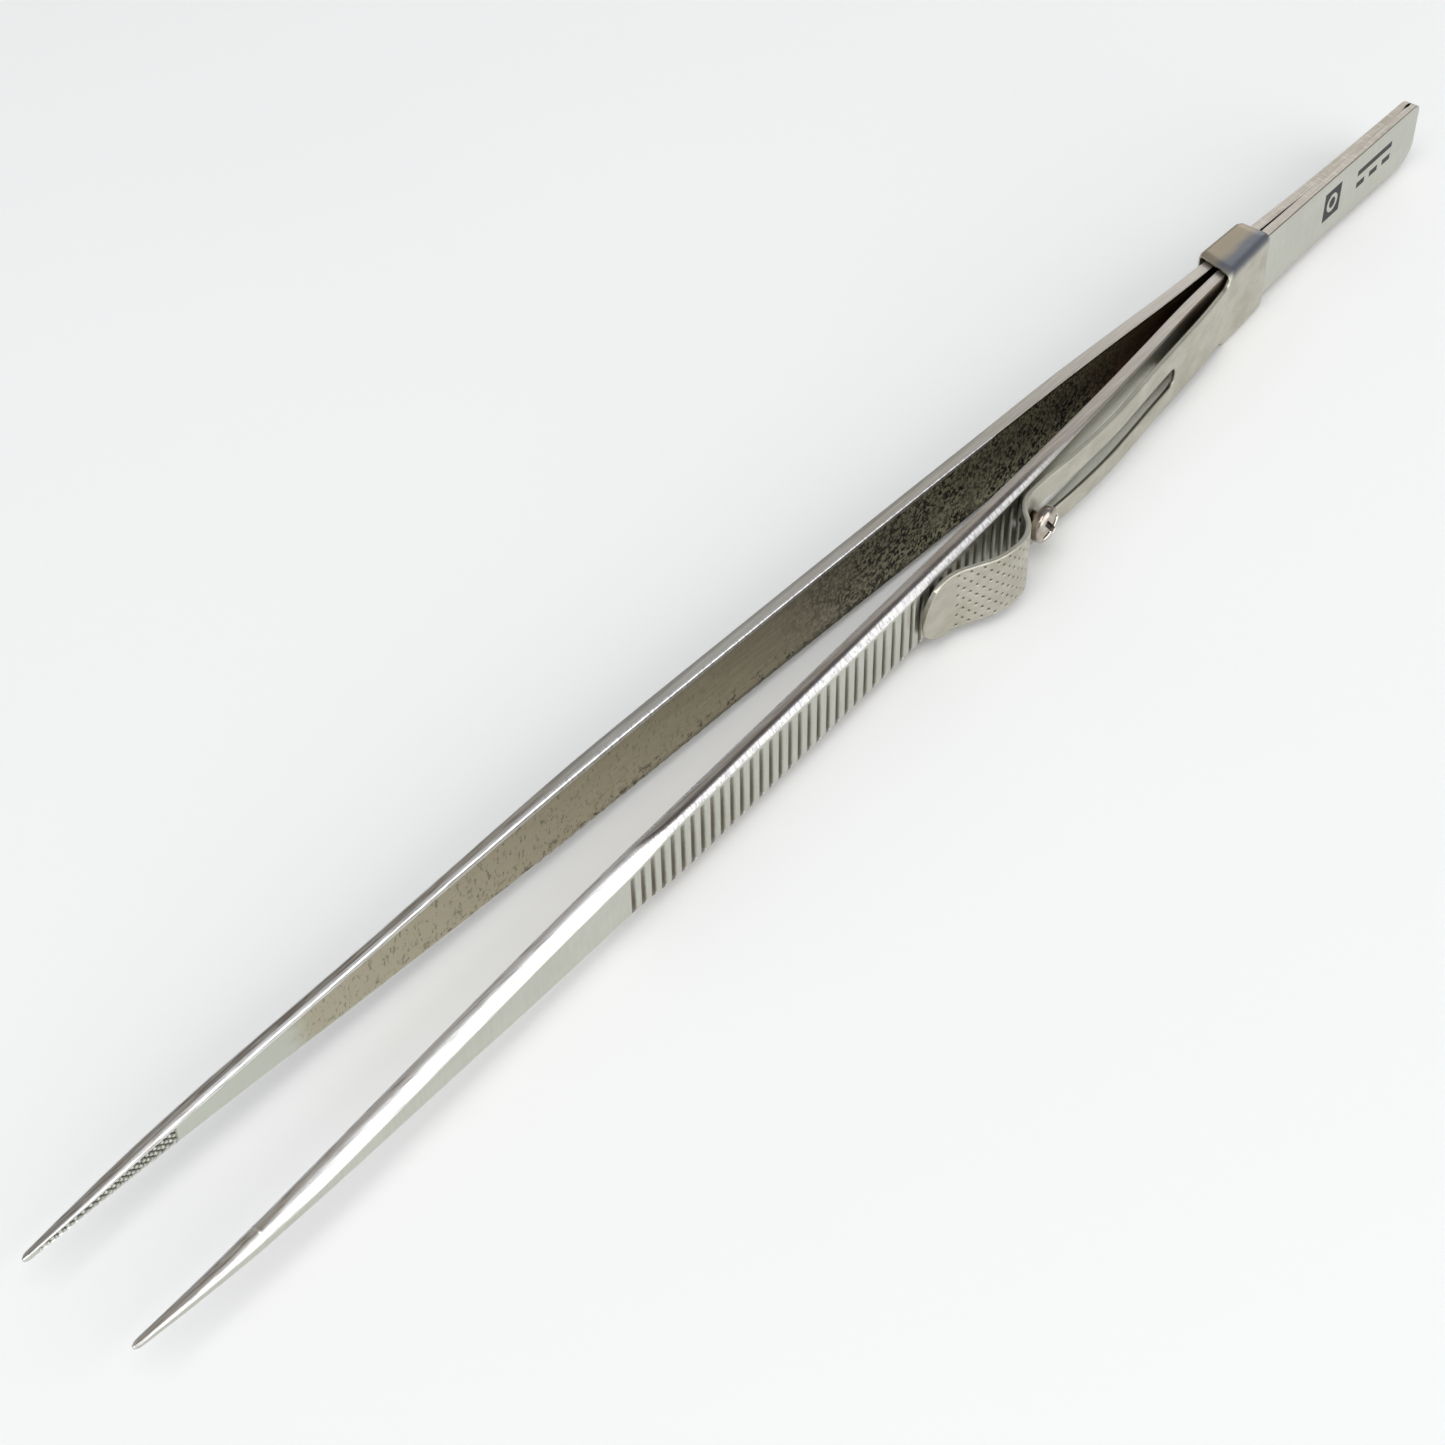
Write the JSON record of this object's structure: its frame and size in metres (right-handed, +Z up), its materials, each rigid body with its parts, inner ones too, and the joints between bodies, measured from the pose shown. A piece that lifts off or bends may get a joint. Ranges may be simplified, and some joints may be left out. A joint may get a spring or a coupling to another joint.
{
  "type": "slide lock tweezers",
  "caption": "Fine-point tweezers with two bowed spring-steel arms, finger grooves and a sliding collar lock worked by a dimpled thumb tab.",
  "frame": {"origin": "centre of the bounding box in X and Y, on the plane that the tweezers lie on", "axes": "+X from the tail to the tips, +Y from the rear arm to the front arm that carries the slide, +Z up across the width of the leaves"},
  "size_m": [0.165, 0.013, 0.0079],
  "materials": {
    "leaf_steel": "satin ground stainless steel",
    "slide_steel": "satin sheet stainless steel",
    "screw_steel": "bright turned steel"
  },
  "bodies": {
    "tail": {"front_tail": "leaf_steel", "rear_tail": "leaf_steel"},
    "front_arm": {"front_arm": "leaf_steel", "guide_screw": "screw_steel"},
    "rear_arm": {"rear_arm": "leaf_steel"},
    "lock_slide": {"lock_slide": "slide_steel"}
  },
  "joints": [
    {"name": "lock_travel", "type": "slide", "parent": "front_arm", "child": "lock_slide", "axis": [0.9988, 0.0499, 0], "range_m": [0, 0.011]},
    {"name": "front_arm_flex", "type": "hinge", "parent": "tail", "child": "front_arm", "pos_m": [-0.054, -0.00053, 0.00395], "axis": [0, 0, -1], "range_deg": [0, 1.98], "stiffness_Nm_per_rad": 3.3},
    {"name": "rear_arm_flex", "type": "hinge", "parent": "tail", "child": "rear_arm", "pos_m": [-0.054, -0.00053, 0.00395], "axis": [0, 0, 1], "range_deg": [0, 1.98], "stiffness_Nm_per_rad": 3.3}
  ],
  "couplings": [
    {"joint": "front_arm_flex", "follows": "lock_travel", "rad_per_m": 3.14},
    {"joint": "rear_arm_flex", "follows": "lock_travel", "rad_per_m": 3.14}
  ]
}
